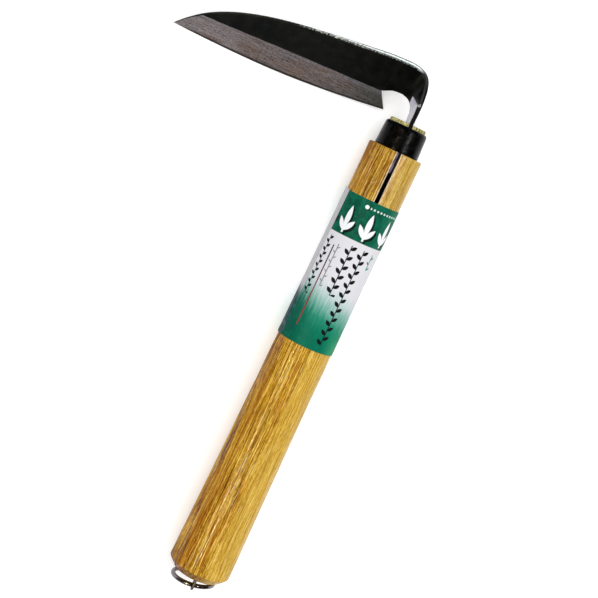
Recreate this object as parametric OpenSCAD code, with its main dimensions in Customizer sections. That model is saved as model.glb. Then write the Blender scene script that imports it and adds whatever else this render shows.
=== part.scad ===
// Hand sickle for weeding: a forged one-piece blade, neck and tang, set in a
// slit wooden handle and held by a black ferrule and a cross nail.
// A paper sleeve is wrapped round the handle, and a wire ring hangs in a
// staple at the butt.
// The handle frame has its origin on the handle's axis at the shoulder:
// +X runs to the head, +Y to the blade's side, +Z is the open side of the slit.
// place() then lays the sickle down on the butt's rim, the shoulder's rim and
// the blade's edge, with z = 0 on the bench.

/* [Handle] */
// Length of the wood from the shoulder to the butt end
handle_len = 241; // [200:1:300]
// Radius of the wood at the shoulder
handle_r = 14.3; // [13.5:0.1:15.5]
// Extra radius at the flared butt
flare = 2.4; // [1:0.1:4]
// Length of the bevel at the butt end
butt_bevel = 4.5; // [2:0.5:6]
// Depth of the bevel at the butt end, measured inwards
butt_bevel_in = 4.2; // [2:0.1:4.2]
// Start of the straight part of the grip, from the shoulder
straight_x = 115; // [110:1:125]
// Length of the straight part of the grip
straight_len = 20; // [10:1:24]
// Width of the saw slit that takes the tang
slit_w = 2.25; // [2.2:0.05:3]
// Length of the saw slit below the shoulder
slit_len = 60; // [56:1:70]

/* [Ferrule] */
// Height of the ferrule
ferrule_h = 13.2; // [10:0.1:14]
// Outer radius of the ferrule at the shoulder
ferrule_r1 = 11.7; // [11.6:0.1:13]
// Outer radius of the ferrule at the top
ferrule_r2 = 11.2; // [10.6:0.1:11.5]
// Radius of the turned spigot that the ferrule sits on
spigot_r = 9.7; // [9.2:0.1:9.8]
// Length of the spigot above the shoulder
spigot_len = 15.0; // [14.5:0.1:17]

/* [Blade] */
// Tilt of the blade from the bench plane, in degrees
blade_tilt = 33.6; // [30:0.1:38]
// Dip of the blade's long axis towards the tip, in degrees
blade_dip = 0.3; // [0:0.1:1]
// Height of the spine above the handle's axis
spine_z = 8.2; // [7.5:0.1:8.5]
// Thickness at the neck
neck_t = 3.6; // [3:0.1:4]
// Thickness along the outer half of the blade
blade_t = 1.3; // [1:0.1:2]
// Depth of the curve of the cutting edge
edge_sag = 3.2; // [2:0.1:4]
// Thickness of the tang
tang_t = 2.1; // [1.9:0.05:2.15]

/* [Nail] */
// Radius of the cross nail
nail_r = 1.2; // [1:0.05:1.5]
// Distance of the cross nail below the shoulder
nail_x = 36; // [32:1:44]

/* [Label] */
// Start of the paper sleeve below the shoulder
label_x0 = 27; // [26:1:30]
// End of the paper sleeve below the shoulder
label_x1 = 107; // [95:1:108]
// Thickness of the paper sleeve
label_t = 0.25; // [0.2:0.05:0.3]

/* [Ring] */
// Radius of the hanging ring to the middle of its wire
ring_r = 11; // [10.5:0.1:11.5]
// Radius of the ring's wire
ring_wire_r = 1.2; // [1:0.05:1.2]
// Radius of the staple's wire
staple_wire_r = 0.6; // [0.55:0.05:0.9]
// Height of the staple above the handle's axis
staple_z = 8.5; // [8:0.1:8.6]
// Distance of the ring's wire from the butt face
ring_off = 3.9; // [3:0.1:4]
// Turn of the ring about the vertical, in degrees
ring_turn = 7; // [0:0.5:8]

/* [Hidden] */
$fn = 96;

// ---- handle outline ----
butt_r = handle_r + flare;
rim_x = handle_len - butt_bevel;
function wood_r0(x) = handle_r + flare * pow(x / rim_x, 2);
straight_r = wood_r0(straight_x + straight_len / 2);
function wood_r(x) = (x >= straight_x && x <= straight_x + straight_len) ? straight_r : wood_r0(x);
corner = 0.8;

// ---- resting pose ----
pitch = atan((butt_r - handle_r) / (rim_x - corner));
axis_h = handle_r * cos(pitch) - corner * sin(pitch);

// ---- blade curves, in the blade's own plane: l towards the tip, e towards the spine ----
spine_keys = [[2, 0.2], [12, 0], [22, -0.5], [34, -2], [50, -4.2], [68, -7.1], [84, -10.8], [97, -15.2], [107, -20], [114.5, -24.9], [121, -30.9], [126.2, -36.8], [130, -42]];
tip = [126.5, -37.4];
heel = [13.4, -31.8];
notch = [19.8, -20.6];
bevel_slope = -0.058;

function cr(a, b, c, d, t) = 0.5 * (2 * b + (c - a) * t + (2 * a - 5 * b + 4 * c - d) * t * t + (3 * b - a - 3 * c + d) * t * t * t);
function lerp(a, b, t) = a + (b - a) * t;
function clamp01(t) = max(0, min(1, t));
function smooth(t) = let (c = clamp01(t)) c * c * (3 - 2 * c);
function unit(v) = v / norm(v);

// Key k and the share of the way to the next key for a place l along the spine
function spine_k(l, k = 1) = (k >= len(spine_keys) - 3 || l < spine_keys[k + 1][0]) ? k : spine_k(l, k + 1);
// The keys are uneven, so the curve is a cubic Hermite with secant slopes
function slope(k) = (spine_keys[k + 1][1] - spine_keys[k - 1][1]) / (spine_keys[k + 1][0] - spine_keys[k - 1][0]);
function spine_e(l) =
    let (k = spine_k(l), a = spine_keys[k], b = spine_keys[k + 1], w = b[0] - a[0], t = (l - a[0]) / w)
    (2 * t * t * t - 3 * t * t + 1) * a[1] + (t * t * t - 2 * t * t + t) * w * slope(k)
    + (3 * t * t - 2 * t * t * t) * b[1] + (t * t * t - t * t) * w * slope(k + 1);
function edge_e(l) = let (s = (l - heel[0]) / (tip[0] - heel[0])) lerp(heel[1], tip[1], s) - edge_sag * 4 * s * (1 - s);
// Near the tip the bevel stops just short of the spine and leaves a thin black rim
function bevel_e(l) = min(notch[1] + bevel_slope * (l - notch[0]), spine_e(l) - 0.25 - 0.75 * smooth((125.5 - l) / 14));
function blade_thick(l) = lerp(neck_t, blade_t, smooth((l - 14) / 62)) - 0.5 * smooth((l - 100) / 27);

// Axes of the blade's plane in the handle frame
axis_l = [0, cos(blade_dip), -sin(blade_dip)];
axis_e = unit([cos(blade_tilt), 0, sin(blade_tilt)] - ([cos(blade_tilt), 0, sin(blade_tilt)] * axis_l) * axis_l);
bend = [42, 0, spine_z];
function on_blade(l, e) = bend + l * axis_l + e * axis_e;

// ---- rulings across the sheet, from its inner edge to its outer edge ----
// Tang: [x, z of the inner edge, z of the outer edge, thickness]
tang_keys = [[-53, -3.5, 4.5, tang_t - 0.1], [-51, -4.2, 5.6, tang_t], [-30, -5.6, 8, tang_t], [0, -6.5, 8.8, tang_t]];
// Neck: [inner edge, outer edge, thickness]
neck_keys = [
    [[14, 0, -6.6], [14, 0, 9], tang_t],
    [[19.4, 0.3, -6.4], [20.5, -0.1, 9], tang_t + 0.1],
    [[22.8, 1.2, -5.8], [25.5, 0, 8.9], 2.5],
    [[25.1, 2.7, -4.8], [29.8, 0.3, 8.7], 2.8],
    [[26.5, 4.8, -3.5], [34, 0.8, 8.4], 3.1],
    [[27.2, 7.2, -2.4], [38, 2.2, 8.1], 3.4],
    [[27.5, 10, -1.7], [40.8, 5.4, 7.6], neck_t - 0.1],
    [on_blade(14.5, notch[1] + 2.6), on_blade(10.5, -0.1), neck_t],
    [on_blade(notch[0], notch[1]), on_blade(17, spine_e(17)), neck_t]
];
neck_steps = 6;
n_neck = len(neck_keys);
function nk(i) = neck_keys[max(0, min(n_neck - 1, i))];
// The curve starts along the tang, so the key before the first is on the tang
function nk3(i, c) = i < 0 ? (c == 2 ? tang_t : nk(0)[c] - [8, 0, 0]) : (i >= n_neck ? (c == 2 ? neck_t : (c == 0 ? on_blade(27, bevel_e(27)) : on_blade(25, spine_e(25)))) : nk(i)[c]);
// Each ruling: [outer, inner, cutting edge or undef, thickness]
tang_rul = [for (k = tang_keys) [[k[0], 0, k[2]], [k[0], 0, k[1]], undef, k[3]]];
neck_rul = [for (i = [0:n_neck - 2]) for (s = [0:neck_steps - 1]) let (t = s / neck_steps)
    [cr(nk3(i - 1, 1), nk(i)[1], nk(i + 1)[1], nk3(i + 2, 1), t),
     cr(nk3(i - 1, 0), nk(i)[0], nk(i + 1)[0], nk3(i + 2, 0), t), undef,
     lerp(nk(i)[2], nk(i + 1)[2], t)]];
// Blade rulings: the outer end of each leans towards the neck at the notch, and
// the part below the bevel line leans further, to the slanted heel
blade_l = concat([for (s = [0:11]) notch[0] + s * 3], [for (s = [1:14]) 52.8 + s * 4], [for (s = [1:9]) 108.8 + s * 2]);
blade_rul = [for (l = blade_l)
    let (lean = 2.8 * (1 - smooth((l - notch[0]) / 24)), hl = (notch[0] - heel[0]) * (1 - smooth((l - notch[0]) / 34)),
         lo = min(l - lean, tip[0] - 0.3), e = min(spine_e(lo), spine_e(lo)))
    [on_blade(lo, e), on_blade(l, bevel_e(l)), on_blade(l - hl, min(edge_e(l - hl), bevel_e(l) - 0.25)), blade_thick(l)]];
rul = concat(tang_rul, neck_rul, blade_rul);
first_edge = len(tang_rul) + len(neck_rul);
n_rul = len(rul);

// Unit normal of the sheet at ruling i, on the side that faces up on the blade
function mid(i) = (rul[i][0] + rul[i][1]) / 2;
function sheet_n(i) = unit(cross(rul[i][0] - rul[i][1], mid(min(n_rul - 1, i + 1)) - mid(max(0, i - 1))));
blade_n = unit(cross(axis_e, axis_l));
function nrm(i) = i >= first_edge ? blade_n : sheet_n(i);
shin = 0.9; // share of the thickness left at the bevel line
across = 4; // pieces across the sheet
// Points of ruling i: the front face from the outer to the inner edge, then the
// back face the same way, then the cutting edge's front and back
function sec(i) = let (r = rul[i], n = nrm(i), t0 = r[3], t1 = i >= first_edge ? t0 * shin : t0,
                       edge = is_undef(r[2]) ? r[1] : r[2])
    concat([for (j = [0:across]) let (k = j / across) lerp(r[0], r[1], k) + n * lerp(t0, t1, k) / 2],
           [for (j = [0:across]) let (k = j / across) lerp(r[0], r[1], k) - n * lerp(t0, t1, k) / 2],
           [edge - n * (t1 / 2 - 0.2), edge - n * t1 / 2]);
secs = [for (i = [0:n_rul - 1]) sec(i)];

module sheet() {
    m = across + 1;
    n_main = 2 * m * n_rul;
    pts = concat([for (s = secs) for (j = [0:2 * m - 1]) s[j]], [for (i = [first_edge:n_rul - 1]) for (j = [2 * m, 2 * m + 1]) secs[i][j]]);
    last = n_rul - 1;
    function p(i, j) = j < 2 * m ? 2 * m * i + j : n_main + 2 * (i - first_edge) + (j - 2 * m);
    function strip(i, a, b) = [[p(i, a), p(i + 1, a), p(i + 1, b)], [p(i, a), p(i + 1, b), p(i, b)]];
    fi = m - 1; bo = m; bi = 2 * m - 1; ef = 2 * m; eb = 2 * m + 1;
    f = concat(
        [for (i = [0:last - 1]) for (q = strip(i, 0, bo)) q],
        [for (i = [0:last - 1]) for (j = [0:across - 1]) for (q = strip(i, bo + j, bo + j + 1)) q],
        [for (i = [0:last - 1]) for (j = [0:across - 1]) for (q = strip(i, j + 1, j)) q],
        [for (i = [0:first_edge - 1]) for (q = strip(i, bi, fi)) q],
        [for (i = [first_edge:last - 1]) for (q = strip(i, bi, eb)) q],
        [for (i = [first_edge:last - 1]) for (q = strip(i, eb, ef)) q],
        [for (i = [first_edge:last - 1]) for (q = strip(i, ef, fi)) q],
        [for (j = [0:across - 1]) each [[p(0, j), p(0, bo + j), p(0, bo + j + 1)], [p(0, j), p(0, bo + j + 1), p(0, j + 1)]]],
        [[p(first_edge, bi), p(first_edge, eb), p(first_edge, ef)], [p(first_edge, bi), p(first_edge, ef), p(first_edge, fi)]],
        [for (j = [0:across - 1]) each [[p(last, j), p(last, bo + j + 1), p(last, bo + j)], [p(last, j), p(last, j + 1), p(last, bo + j + 1)]]],
        [[p(last, bi), p(last, ef), p(last, eb)], [p(last, bi), p(last, fi), p(last, ef)]]
    );
    polyhedron(points = pts, faces = f, convexity = 6);
}

// ---- overall box, for the origin at its bottom centre ----
function world(p) = [p[0] * cos(pitch) + p[2] * sin(pitch), p[1], axis_h + p[2] * cos(pitch) - p[0] * sin(pitch)];
all_pts = [for (s = secs) for (p = s) world(p)];
ring_gap = 0.3; // clearance of the ring in the staple
crown_x = handle_len + ring_off + ring_gap + ring_wire_r + 2 * staple_wire_r;
box_x1 = max([for (p = all_pts) p[0]]);
box_x0 = world([-crown_x, 0, staple_z])[0];
box_y1 = max([for (p = all_pts) p[1]]);
box_y0 = -butt_r;
blade_low = min([for (p = all_pts) p[2]]);
echo(box_x0 = box_x0, box_x1 = box_x1, box_y1 = box_y1, blade_low = blade_low, pitch = pitch, axis_h = axis_h);
module place() {
    translate([-(box_x0 + box_x1) / 2, -(box_y0 + box_y1) / 2, axis_h]) rotate([0, pitch, 0]) children();
}
// Lays a profile that was turned about Z along -X, with its start at the shoulder
module along() { rotate([0, -90, 0]) children(); }

module blade() {
    color([0.13, 0.14, 0.14]) place() difference() {
        sheet();
        translate([-nail_x, 0, 1]) rotate([90, 0, 0]) cylinder(r = nail_r + 0.03, h = 20, center = true);
    }
}

module handle() {
    xs = concat([for (k = [0:10]) 2 + k * 10.6], [straight_x], [straight_x + straight_len], [for (k = [1:8]) straight_x + straight_len + k * (rim_x - 1.5 - straight_x - straight_len) / 8]);
    color([0.78, 0.6, 0.33]) place() difference() {
        along() rotate_extrude() polygon(concat(
            [[0, -spigot_len], [spigot_r - 0.6, -spigot_len], [spigot_r, -spigot_len + 0.6], [spigot_r, 0]],
            [[handle_r - corner, 0], [handle_r - 0.24, 0.24], [handle_r, corner]],
            [for (x = xs) if (x < straight_x || x >= straight_x) [wood_r(x), x]],
            [[butt_r - 0.15, rim_x + 0.3], [butt_r - butt_bevel_in, handle_len], [0, handle_len]]
        ));
        // saw slit
        translate([-slit_len, -slit_w / 2, -40]) cube([slit_len + 40, slit_w, 80]);
        // hole for the cross nail
        translate([-nail_x, 0, 1]) rotate([90, 0, 0]) cylinder(r = nail_r + 0.01, h = 40, center = true);
        // holes for the staple's legs
        for (s = [-1, 1]) translate([-handle_len - 1, 0, staple_z + s * staple_gap]) rotate([0, 90, 0]) cylinder(r = staple_wire_r + 0.01, h = 12.2);
    }
}

module ferrule() {
    r = 2; // rounding of the top edge
    color([0.06, 0.06, 0.07]) place() along() rotate_extrude() polygon(concat(
        [[spigot_r + 0.02, -0.05], [ferrule_r1 - 0.3, -0.05], [ferrule_r1, -0.35]],
        [[ferrule_r2 + 0.05, -ferrule_h + r]],
        [for (a = [15:15:75]) [ferrule_r2 - r * 0.65 * (1 - cos(a)), -ferrule_h + r - r * sin(a)]],
        [[ferrule_r2 - r * 0.65, -ferrule_h], [spigot_r + 0.02, -ferrule_h]]
    ));
}

module cross_nail() {
    half = sqrt(pow(wood_r0(nail_x), 2) - 1) - 0.25;
    color([0.72, 0.6, 0.3]) place() translate([-nail_x, 0, 1]) rotate([90, 0, 0]) cylinder(r = nail_r, h = 2 * half, center = true);
}

// Wall of the sleeve between two radii offsets, from a to b along the handle
module sleeve(a, b, o1, o2, turn) {
    n = 8;
    rotate_extrude(angle = turn) polygon(concat(
        [for (k = [0:n]) let (x = lerp(a, b, k / n)) [wood_r0(x) + o1, x]],
        [for (k = [n:-1:0]) let (x = lerp(a, b, k / n)) [wood_r0(x) + o2, x]]
    ));
}
module label_sleeve() {
    color([0.12, 0.5, 0.36]) place() along() {
        sleeve(label_x0, label_x1, 0.03, 0.03 + label_t, 360);
        // overlapping end of the sheet, on the blade's side
        rotate([0, 0, 66]) sleeve(label_x0 - 1.5, label_x1, 0.03 + label_t, 0.03 + 2 * label_t + 0.2, 30);
    }
}

staple_gap = ring_wire_r + ring_gap + staple_wire_r;
module ring_staple() {
    leg = ring_off + 10;
    color([0.6, 0.6, 0.6]) place() translate([-handle_len - ring_off, 0, staple_z]) {
        for (s = [-1, 1]) translate([0, 0, s * staple_gap]) rotate([0, 90, 0]) cylinder(r = staple_wire_r, h = leg);
        rotate([90, 0, 0]) rotate([0, 0, 90]) rotate_extrude(angle = 180) translate([staple_gap, 0]) circle(r = staple_wire_r);
    }
}

module hanging_ring() {
    color([0.75, 0.75, 0.76]) place() translate([-handle_len - ring_off, 0, staple_z]) rotate([0, 0, ring_turn])
        translate([0, 0, -ring_r]) rotate([0, 90, 0]) rotate_extrude() translate([ring_r, 0]) circle(r = ring_wire_r);
}

blade();
handle();
ferrule();
cross_nail();
label_sleeve();
ring_staple();
hanging_ring();
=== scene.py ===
"""Hand sickle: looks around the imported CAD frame.

All shapes are worked out in the handle frame (millimetres; origin on the
handle's axis at the shoulder, +X to the head, +Y to the blade's side, +Z the
open side of the slit) and carried to the row frame by place().
"""
import math

import bmesh
import bpy
import numpy as np
from mathutils import Matrix, Vector


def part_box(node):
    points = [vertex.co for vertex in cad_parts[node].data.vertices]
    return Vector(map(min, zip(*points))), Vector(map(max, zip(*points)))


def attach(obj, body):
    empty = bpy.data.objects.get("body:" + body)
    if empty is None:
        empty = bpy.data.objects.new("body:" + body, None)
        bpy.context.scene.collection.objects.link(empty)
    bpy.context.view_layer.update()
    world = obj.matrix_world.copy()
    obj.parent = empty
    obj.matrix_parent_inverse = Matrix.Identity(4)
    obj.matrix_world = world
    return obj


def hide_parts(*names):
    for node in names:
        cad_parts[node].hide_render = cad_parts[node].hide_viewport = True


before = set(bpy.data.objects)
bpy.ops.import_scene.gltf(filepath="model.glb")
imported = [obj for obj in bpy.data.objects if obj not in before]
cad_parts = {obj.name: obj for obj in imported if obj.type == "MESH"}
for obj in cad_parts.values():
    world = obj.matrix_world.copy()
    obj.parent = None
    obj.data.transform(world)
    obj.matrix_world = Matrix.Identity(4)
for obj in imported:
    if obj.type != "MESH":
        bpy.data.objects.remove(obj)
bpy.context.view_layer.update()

TAU = 2 * math.pi

# ----------------------------------------------------------------- dimensions
HANDLE_LEN, HANDLE_R, FLARE = 241.0, 14.3, 2.4
BUTT_R = HANDLE_R + FLARE
BEVEL_X, BEVEL_IN = 4.5, 4.2
RIM_X = HANDLE_LEN - BEVEL_X
STRAIGHT = (115.0, 135.0)
CORNER = 0.8
SLIT_W, SLIT_LEN = 2.25, 60.0
SPIGOT_R, SPIGOT_LEN = 9.7, 15.0
FER_H, FER_R1, FER_R2 = 13.2, 11.7, 11.2
LAB = (27.0, 107.0)
LAB_T = 0.25
RING_R, RING_W, STAPLE_W, STAPLE_Z, RING_OFF, RING_TURN = 11.0, 1.2, 0.6, 8.5, 3.9, 7.0
STAPLE_GAP = RING_W + 0.3 + STAPLE_W

PITCH = math.atan((BUTT_R - HANDLE_R) / (RIM_X - CORNER))
CP, SP = math.cos(PITCH), math.sin(PITCH)
_lo, _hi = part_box("cross_nail")
_mid = (_lo + _hi) / 2 * 1000
OFF = Vector((_mid.x - (-36 * CP + 1 * SP), _mid.y, _mid.z - (1 * CP + 36 * SP)))


def place(p):
    """Handle frame in mm to the row frame in metres, for an (n, 3) array."""
    p = np.asarray(p, float).reshape(-1, 3)
    out = np.empty_like(p)
    out[:, 0] = p[:, 0] * CP + p[:, 2] * SP + OFF.x
    out[:, 1] = p[:, 1] + OFF.y
    out[:, 2] = p[:, 2] * CP - p[:, 0] * SP + OFF.z
    return out * 0.001


def place_dir(d):
    return Vector((d[0] * CP + d[2] * SP, d[1], d[2] * CP - d[0] * SP))


SKIN = 0.035      # the finer outline stays this far inside the CAD's flats and corners


def wood_r0(x):
    return HANDLE_R - SKIN + FLARE * (x / RIM_X) ** 2


def wood_r(x):
    if STRAIGHT[0] <= x <= STRAIGHT[1]:
        return wood_r0(sum(STRAIGHT) / 2)
    return wood_r0(x)


def smooth01(t):
    t = min(1.0, max(0.0, t))
    return t * t * (3 - 2 * t)


def lerp(a, b, t):
    return a + (b - a) * t


# ------------------------------------------------------------- mesh gathering
class Build:
    """Collects points in the handle frame and faces with a zone number, then makes one object."""

    def __init__(self):
        self.p, self.q, self.k, self.f, self.z, self.sharp = [], [], [], [], [], set()

    def pt(self, p, q=(0, 0, 0), k=0.0):
        self.p.append(tuple(float(c) for c in p))
        self.q.append(tuple(float(c) for c in q))
        self.k.append(float(k))
        return len(self.p) - 1

    def face(self, idx, zone=0):
        idx = [k for n, k in enumerate(idx) if k != idx[n - 1]]
        if len(idx) > 2:
            self.f.append(idx)
            self.z.append(zone)

    def grid(self, rows, zone=0, closed=False, flip=False):
        """rows of point numbers; quads between neighbouring rows."""
        for a, b in zip(rows[:-1], rows[1:]):
            n = len(a)
            for j in range(n if closed else n - 1):
                k = (j + 1) % n
                quad = [a[j], a[k], b[k], b[j]]
                self.face(quad[::-1] if flip else quad, zone)

    def line_sharp(self, idx, closed=False):
        for a, b in zip(idx[:-1], idx[1:]):
            self.sharp.add((min(a, b), max(a, b)))
        if closed:
            self.sharp.add((min(idx[0], idx[-1]), max(idx[0], idx[-1])))

    def make(self, name, body, replaces=(), angle=None, fix=True):
        me = bpy.data.meshes.new(name)
        me.from_pydata([tuple(c) for c in place(self.p)], [], self.f)
        me.update()
        hp = me.attributes.new("hp", "FLOAT_VECTOR", "POINT")
        hp.data.foreach_set("vector", np.array(self.p, np.float32).ravel())
        hq = me.attributes.new("hq", "FLOAT_VECTOR", "POINT")
        hq.data.foreach_set("vector", np.array(self.q, np.float32).ravel())
        hk = me.attributes.new("hk", "FLOAT", "POINT")
        hk.data.foreach_set("value", np.array(self.k, np.float32))
        zone = me.attributes.new("zone", "FLOAT", "FACE")
        zone.data.foreach_set("value", np.array(self.z, np.float32))
        bm = bmesh.new()
        bm.from_mesh(me)
        bm.verts.ensure_lookup_table()
        for e in bm.edges:
            key = (min(v.index for v in e.verts), max(v.index for v in e.verts))
            e.smooth = key not in self.sharp
            if angle is not None and len(e.link_faces) == 2 and e.calc_face_angle(0) > angle:
                e.smooth = False
        for f in bm.faces:
            f.smooth = True
        if fix:
            bmesh.ops.recalc_face_normals(bm, faces=bm.faces)
        bm.to_mesh(me)
        bm.free()
        ob = bpy.data.objects.new(name, me)
        bpy.context.scene.collection.objects.link(ob)
        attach(ob, body)
        if replaces:
            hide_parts(*replaces)
        return ob


# ---------------------------------------------------------- shader expressions
def srgb(h):
    """Linear RGBA of a hex colour."""
    c = [int(h[i:i + 2], 16) / 255 for i in (0, 2, 4)]
    return tuple(x / 12.92 if x <= 0.04045 else ((x + 0.055) / 1.055) ** 2.4 for x in c) + (1.0,)


class Val:
    """A socket of a material, with arithmetic that makes Math nodes."""

    def __init__(self, sh, sock):
        self.sh, self.sock = sh, sock

    def __add__(self, o): return self.sh.math("ADD", self, o)
    def __radd__(self, o): return self.sh.math("ADD", o, self)
    def __sub__(self, o): return self.sh.math("SUBTRACT", self, o)
    def __rsub__(self, o): return self.sh.math("SUBTRACT", o, self)
    def __mul__(self, o): return self.sh.math("MULTIPLY", self, o)
    def __rmul__(self, o): return self.sh.math("MULTIPLY", o, self)
    def __truediv__(self, o): return self.sh.math("DIVIDE", self, o)
    def __rtruediv__(self, o): return self.sh.math("DIVIDE", o, self)
    def __neg__(self): return self.sh.math("MULTIPLY", self, -1.0)


class Shader:
    def __init__(self, name):
        self.mat = bpy.data.materials.new(name)
        self.mat.use_nodes = True
        self.nt = self.mat.node_tree
        self.nt.nodes.clear()
        out = self.nt.nodes.new("ShaderNodeOutputMaterial")
        self.bsdf = self.nt.nodes.new("ShaderNodeBsdfPrincipled")
        self.nt.links.new(self.bsdf.outputs[0], out.inputs[0])

    def put(self, sock, val):
        if isinstance(val, Val):
            self.nt.links.new(val.sock, sock)
        elif val is not None:
            sock.default_value = val

    def math(self, op, a, b=None, c=None, clamp=False):
        n = self.nt.nodes.new("ShaderNodeMath")
        n.operation = op
        n.use_clamp = clamp
        for s, v in zip(n.inputs, (a, b, c)):
            self.put(s, v)
        return Val(self, n.outputs[0])

    def clamp(self, a): return self.math("ADD", a, 0.0, clamp=True)
    def mn(self, a, b): return self.math("MINIMUM", a, b)
    def mx(self, a, b): return self.math("MAXIMUM", a, b)
    def absv(self, a): return self.math("ABSOLUTE", a)
    def sqrt(self, a): return self.math("SQRT", a)
    def floor(self, a): return self.math("FLOOR", a)
    def fract(self, a): return self.math("FRACT", a)
    def power(self, a, b): return self.math("POWER", a, b)

    def attr(self, name):
        n = self.nt.nodes.new("ShaderNodeAttribute")
        n.attribute_name = name
        return n

    def point(self, name="hp"):
        """x, y, z of a point attribute, in mm."""
        n = self.attr(name)
        s = self.nt.nodes.new("ShaderNodeSeparateXYZ")
        self.nt.links.new(n.outputs["Vector"], s.inputs[0])
        return [Val(self, o) for o in s.outputs]

    def zone(self):
        return Val(self, self.attr("zone").outputs["Fac"])

    def share(self):
        return Val(self, self.attr("hk").outputs["Fac"])

    def vec(self, x, y, z):
        n = self.nt.nodes.new("ShaderNodeCombineXYZ")
        for s, v in zip(n.inputs, (x, y, z)):
            self.put(s, v)
        return Val(self, n.outputs[0])

    def noise(self, v, scale=1.0, detail=2.0, rough=0.5, dist=0.0, lac=2.0):
        n = self.nt.nodes.new("ShaderNodeTexNoise")
        self.put(n.inputs["Vector"], v)
        n.inputs["Scale"].default_value = scale
        n.inputs["Detail"].default_value = detail
        n.inputs["Roughness"].default_value = rough
        n.inputs["Distortion"].default_value = dist
        n.inputs["Lacunarity"].default_value = lac
        return Val(self, n.outputs[0])

    def voronoi(self, v, scale=1.0, feature="F1", rand=1.0):
        n = self.nt.nodes.new("ShaderNodeTexVoronoi")
        n.feature = feature
        self.put(n.inputs["Vector"], v)
        n.inputs["Scale"].default_value = scale
        n.inputs["Randomness"].default_value = rand
        return Val(self, n.outputs["Distance"]), Val(self, n.outputs["Color"]) if "Color" in n.outputs else None

    def step(self, v, lo, hi, a=0.0, b=1.0, soft=True):
        """a below lo to b above hi."""
        n = self.nt.nodes.new("ShaderNodeMapRange")
        n.interpolation_type = "SMOOTHSTEP" if soft else "LINEAR"
        n.clamp = True
        self.put(n.inputs["Value"], v)
        for key, val in (("From Min", lo), ("From Max", hi), ("To Min", a), ("To Max", b)):
            self.put(n.inputs[key], val)
        return Val(self, n.outputs[0])

    def band(self, v, lo, hi, soft):
        return self.step(v, lo - soft, lo + soft) * self.step(v, hi - soft, hi + soft, 1.0, 0.0)

    def ramp(self, v, stops, mode="LINEAR"):
        n = self.nt.nodes.new("ShaderNodeValToRGB")
        n.color_ramp.interpolation = mode
        el = n.color_ramp.elements
        while len(el) > len(stops):
            el.remove(el[-1])
        while len(el) < len(stops):
            el.new(1.0)
        for e, (pos, col) in zip(el, stops):
            e.position = pos
            e.color = srgb(col) if isinstance(col, str) else (col, col, col, 1.0)
        self.put(n.inputs[0], v)
        return Val(self, n.outputs[0])

    def mix(self, f, a, b, mode="MIX"):
        n = self.nt.nodes.new("ShaderNodeMix")
        n.data_type = "RGBA"
        n.blend_type = mode
        n.clamp_factor = True
        self.put(n.inputs[0], f)
        self.put(n.inputs[6], srgb(a) if isinstance(a, str) else a)
        self.put(n.inputs[7], srgb(b) if isinstance(b, str) else b)
        return Val(self, n.outputs[2])

    def bump(self, height, dist_mm, strength=1.0, normal=None):
        n = self.nt.nodes.new("ShaderNodeBump")
        n.inputs["Strength"].default_value = strength
        n.inputs["Distance"].default_value = dist_mm * 0.001
        self.put(n.inputs["Height"], height)
        if normal is not None:
            self.put(n.inputs["Normal"], normal)
        return Val(self, n.outputs[0])

    def set(self, **kw):
        for k, v in kw.items():
            self.put(self.bsdf.inputs[k.replace("_", " ")], v)
        return self


def give(ob, sh):
    ob.data.materials.clear()
    ob.data.materials.append(sh.mat)


# ----------------------------------------------------------------------- blade
BLADE_TILT, BLADE_DIP, SPINE_Z = math.radians(33.6), math.radians(0.3), 8.2
NECK_T, BLADE_T, EDGE_SAG, TANG_T = 3.6, 1.3, 3.2, 2.1
SPINE = [(2, 0.2), (12, 0), (22, -0.5), (34, -2), (50, -4.2), (68, -7.1), (84, -10.8), (97, -15.2),
         (107, -20), (114.5, -24.9), (121, -30.9), (126.2, -36.8), (130, -42)]
TIP, HEEL, NOTCH, BEVEL_SLOPE = (126.5, -37.4), (13.4, -31.8), (19.8, -20.6), -0.058

AX_L = np.array([0, math.cos(BLADE_DIP), -math.sin(BLADE_DIP)])
_e = np.array([math.cos(BLADE_TILT), 0, math.sin(BLADE_TILT)])
AX_E = _e - (_e @ AX_L) * AX_L
AX_E /= np.linalg.norm(AX_E)
BEND = np.array([42.0, 0.0, SPINE_Z])
BLADE_N = np.cross(AX_E, AX_L)
BLADE_N /= np.linalg.norm(BLADE_N)


def spine_e(l):
    k = 1
    while k < len(SPINE) - 3 and l >= SPINE[k + 1][0]:
        k += 1
    (a0, a1), (b0, b1) = SPINE[k], SPINE[k + 1]

    def slope(i):
        return (SPINE[i + 1][1] - SPINE[i - 1][1]) / (SPINE[i + 1][0] - SPINE[i - 1][0])
    w = b0 - a0
    t = (l - a0) / w
    return ((2 * t ** 3 - 3 * t ** 2 + 1) * a1 + (t ** 3 - 2 * t ** 2 + t) * w * slope(k)
            + (3 * t ** 2 - 2 * t ** 3) * b1 + (t ** 3 - t ** 2) * w * slope(k + 1))


def edge_e(l):
    s = (l - HEEL[0]) / (TIP[0] - HEEL[0])
    return lerp(HEEL[1], TIP[1], s) - EDGE_SAG * 4 * s * (1 - s)


def bevel_e(l):
    return min(NOTCH[1] + BEVEL_SLOPE * (l - NOTCH[0]), spine_e(l) - 0.25 - 0.75 * smooth01((125.5 - l) / 14))


def blade_thick(l):
    return lerp(NECK_T, BLADE_T, smooth01((l - 14) / 62)) - 0.5 * smooth01((l - 100) / 27)


def on_blade(l, e):
    return BEND + l * AX_L + e * AX_E


def blade_le(p):
    d = np.asarray(p) - BEND
    return float(d @ AX_L), float(d @ AX_E)


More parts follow.
